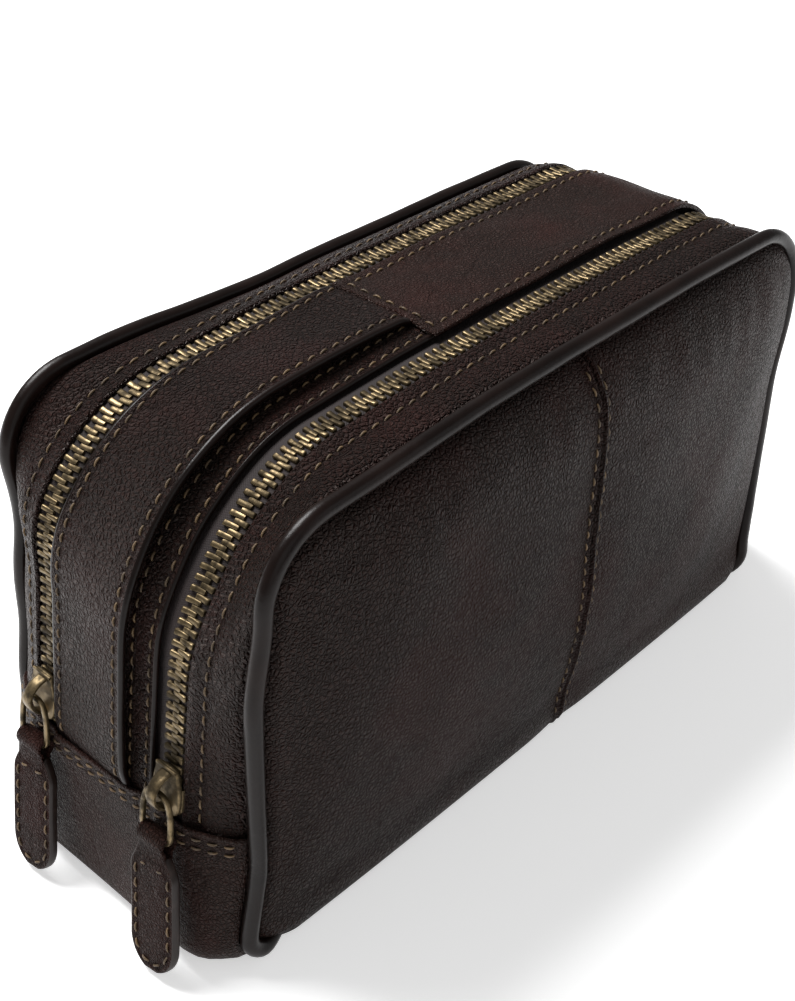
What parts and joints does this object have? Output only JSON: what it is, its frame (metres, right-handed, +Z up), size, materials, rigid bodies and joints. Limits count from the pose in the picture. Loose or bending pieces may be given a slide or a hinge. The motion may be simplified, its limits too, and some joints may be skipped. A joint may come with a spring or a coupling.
{
  "type": "shaving kit bag",
  "caption": "Box-shaped leather wash bag with two zipped compartments, a piped panel at each side, a raised strap over one end and leather zip pulls.",
  "frame": {"origin": "centre of the flat underside of the base wrap", "axes": "+X along the bag away from the zip pulls, -Y towards the front panel, +Z up"},
  "size_m": [0.2818, 0.1224, 0.1467],
  "materials": {
    "leather_pebbled": "satin",
    "leather_smooth": "satin",
    "leather_piping": "semi-gloss",
    "lining_cloth": "matte",
    "zip_tape": "matte",
    "board": "matte",
    "antique_brass": "aged satin",
    "thread": "matte"
  },
  "bodies": {
    "bag": {"base_wrap": "leather_smooth", "base_stiffener": "board", "divider": "lining_cloth", "centre_gusset": "leather_pebbled", "top_cover": "leather_smooth", "handle_strap_backing": "leather_smooth", "handle_strap": "leather_pebbled", "front_zip_inner_teeth": "antique_brass", "front_zip_inner_tape": "zip_tape", "front_zip_outer_foot_teeth": "antique_brass", "front_zip_outer_foot_tape": "zip_tape", "front_panel_foot_left": "leather_pebbled", "front_panel_foot_right": "leather_pebbled", "front_lining_foot": "lining_cloth", "front_piping_foot": "leather_piping", "front_compartment_lining": "lining_cloth", "back_zip_inner_teeth": "antique_brass", "back_zip_inner_tape": "zip_tape", "back_zip_outer_foot_teeth": "antique_brass", "back_zip_outer_foot_tape": "zip_tape", "back_panel_foot_left": "leather_pebbled", "back_panel_foot_right": "leather_pebbled", "back_lining_foot": "lining_cloth", "back_piping_foot": "leather_piping", "back_compartment_lining": "lining_cloth"},
    "front_shell": {"front_zip_outer_teeth": "antique_brass", "front_zip_outer_tape": "zip_tape", "front_side_band": "leather_pebbled", "front_panel_left": "leather_pebbled", "front_panel_right": "leather_pebbled", "front_lining": "lining_cloth", "front_piping": "leather_piping"},
    "front_runner": {"front_slider": "antique_brass", "front_slider_underplate": "antique_brass"},
    "front_bail": {"front_pull_bail": "antique_brass"},
    "front_tab": {"front_pull_tab": "leather_smooth"},
    "back_shell": {"back_zip_outer_teeth": "antique_brass", "back_zip_outer_tape": "zip_tape", "back_side_band": "leather_pebbled", "back_panel_left": "leather_pebbled", "back_panel_right": "leather_pebbled", "back_lining": "lining_cloth", "back_piping": "leather_piping"},
    "back_runner": {"back_slider": "antique_brass", "back_slider_underplate": "antique_brass"},
    "back_bail": {"back_pull_bail": "antique_brass"},
    "back_tab": {"back_pull_tab": "leather_smooth"}
  },
  "joints": [
    {"name": "front_open", "type": "hinge", "parent": "bag", "child": "front_shell", "pos_m": [0, -0.0605, 0.048], "axis": [1, 0, 0], "range_deg": [0, 45]},
    {"name": "front_zip_slide", "type": "slide", "parent": "bag", "child": "front_runner", "axis": [0.1391, 0, 0.9903], "range_m": [0, 0.03]},
    {"name": "front_bail_swing", "type": "hinge", "parent": "front_runner", "child": "front_bail", "pos_m": [-0.13242, -0.0265, 0.0557], "axis": [0, 1, 0], "range_deg": [0, 130]},
    {"name": "front_tab_swing", "type": "hinge", "parent": "front_bail", "child": "front_tab", "pos_m": [-0.13451, -0.0265, 0.04084], "axis": [0, 1, 0], "range_deg": [0, 45]},
    {"name": "back_open", "type": "hinge", "parent": "bag", "child": "back_shell", "pos_m": [0, 0.0605, 0.048], "axis": [-1, 0, 0], "range_deg": [0, 45]},
    {"name": "back_zip_slide", "type": "slide", "parent": "bag", "child": "back_runner", "axis": [0.1391, 0, 0.9903], "range_m": [0, 0.03]},
    {"name": "back_bail_swing", "type": "hinge", "parent": "back_runner", "child": "back_bail", "pos_m": [-0.13242, 0.0265, 0.0557], "axis": [0, 1, 0], "range_deg": [0, 130]},
    {"name": "back_tab_swing", "type": "hinge", "parent": "back_bail", "child": "back_tab", "pos_m": [-0.13451, 0.0265, 0.04084], "axis": [0, 1, 0], "range_deg": [0, 45]}
  ]
}
